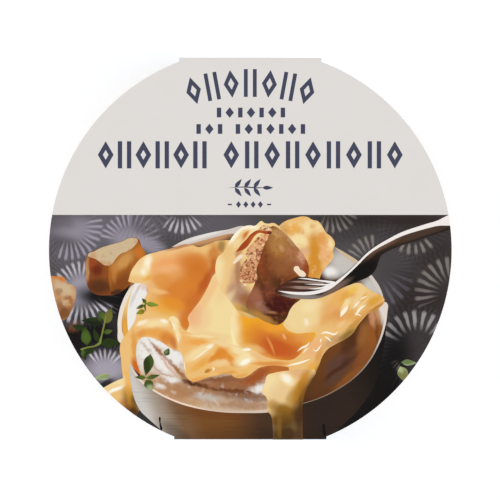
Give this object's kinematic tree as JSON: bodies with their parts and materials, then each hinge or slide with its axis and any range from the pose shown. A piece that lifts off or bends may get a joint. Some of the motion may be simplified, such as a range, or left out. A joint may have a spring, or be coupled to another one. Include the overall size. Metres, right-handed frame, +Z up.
{
  "type": "boxed camembert in a printed card sleeve",
  "caption": "Shut round wooden cheese box, closed with a bent hoop lid, in a folded card sleeve with round printed panels that stand out past the box.",
  "frame": {"origin": "on the surface that the pack lies on, midway between the sleeve's front and back folds", "axes": "+Z up through the printed top panel, +Y up the label towards the back strap, +X to the right of the label"},
  "size_m": [0.12, 0.1142, 0.0372],
  "materials": {
    "card": "coated folding boxboard, silk print",
    "wood": "bare poplar veneer, cut and bent",
    "wire": "dull flat staple wire"
  },
  "bodies": {
    "root": {"sleeve": "card", "lid": "wood", "base": "wood", "lid_staple_1": "wire", "lid_staple_2": "wire", "lid_staple_3": "wire", "lid_staple_4": "wire", "lid_staple_5": "wire", "lid_staple_6": "wire", "base_staple_1": "wire", "base_staple_2": "wire", "base_staple_3": "wire", "base_staple_4": "wire", "base_staple_5": "wire", "base_staple_6": "wire", "lid_lap_staple_1": "wire", "lid_lap_staple_2": "wire", "base_lap_staple_1": "wire", "base_lap_staple_2": "wire"}
  },
  "joints": []
}
